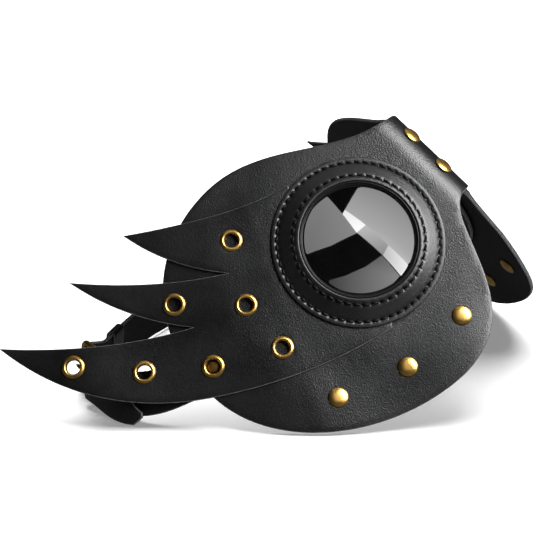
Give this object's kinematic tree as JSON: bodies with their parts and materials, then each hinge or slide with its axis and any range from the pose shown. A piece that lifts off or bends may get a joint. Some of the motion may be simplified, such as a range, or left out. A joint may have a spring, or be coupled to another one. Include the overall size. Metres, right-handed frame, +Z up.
{
  "type": "plague doctor mask",
  "caption": "Bird-style black leather half mask with round stitched goggle rings, feather-shaped side wings set with brass eyelets, and a buckled head strap.",
  "frame": {"origin": "bottom centre of the bounding box, at the height that the cheek lobes rest on", "axes": "+Z up; the nose points to -Y and the strap runs round the back at +Y; the wearer's right is -X. The mirror plane of the two halves is X = 0"},
  "size_m": [0.275, 0.1812, 0.1153],
  "materials": {
    "leather": "fine pebble grain, semi-matte",
    "brass": "polished, lightly aged",
    "bezel": "satin black",
    "lens": "polished smoked grey"
  },
  "bodies": {
    "mask": {"right_face_panel": "leather", "left_face_panel": "leather", "right_wing_panel": "leather", "left_wing_panel": "leather", "right_lens_ring": "leather", "right_lens_bezel": "bezel", "right_lens": "lens", "right_lens_backing_ring": "leather", "right_eyelet_1": "brass", "right_eyelet_2": "brass", "right_eyelet_3": "brass", "right_eyelet_4": "brass", "right_eyelet_5": "brass", "right_eyelet_6": "brass", "right_eyelet_7": "brass", "right_cheek_rivet_1": "brass", "right_cheek_rivet_2": "brass", "right_cheek_rivet_3": "brass", "right_strap_rivet": "brass", "left_lens_ring": "leather", "left_lens_bezel": "bezel", "left_lens": "lens", "left_lens_backing_ring": "leather", "left_eyelet_1": "brass", "left_eyelet_2": "brass", "left_eyelet_3": "brass", "left_eyelet_4": "brass", "left_eyelet_5": "brass", "left_eyelet_6": "brass", "left_eyelet_7": "brass", "left_cheek_rivet_1": "brass", "left_cheek_rivet_2": "brass", "left_cheek_rivet_3": "brass", "left_strap_rivet": "brass", "upper_bridge_rivet": "brass", "lower_bridge_rivet": "brass", "right_strap": "leather", "left_strap": "leather"},
    "buckle": {"buckle_frame": "brass"},
    "prong": {"buckle_prong": "brass"},
    "keeper": {"strap_keeper": "leather"}
  },
  "joints": [
    {"name": "buckle_hinge", "type": "hinge", "parent": "mask", "child": "buckle", "pos_m": [-0.111, 0.05736, 0.01279], "axis": [0.0955, -0.0425, 0.9945], "range_deg": [0, 8]},
    {"name": "prong_pivot", "type": "hinge", "parent": "buckle", "child": "prong", "pos_m": [-0.111, 0.05736, 0.01279], "axis": [0.0955, -0.0425, 0.9945], "range_deg": [0, 12]},
    {"name": "keeper_slide", "type": "slide", "parent": "mask", "child": "keeper", "axis": [-0.9806, -0.1961, 0], "range_m": [-0.004, 0.004]}
  ]
}
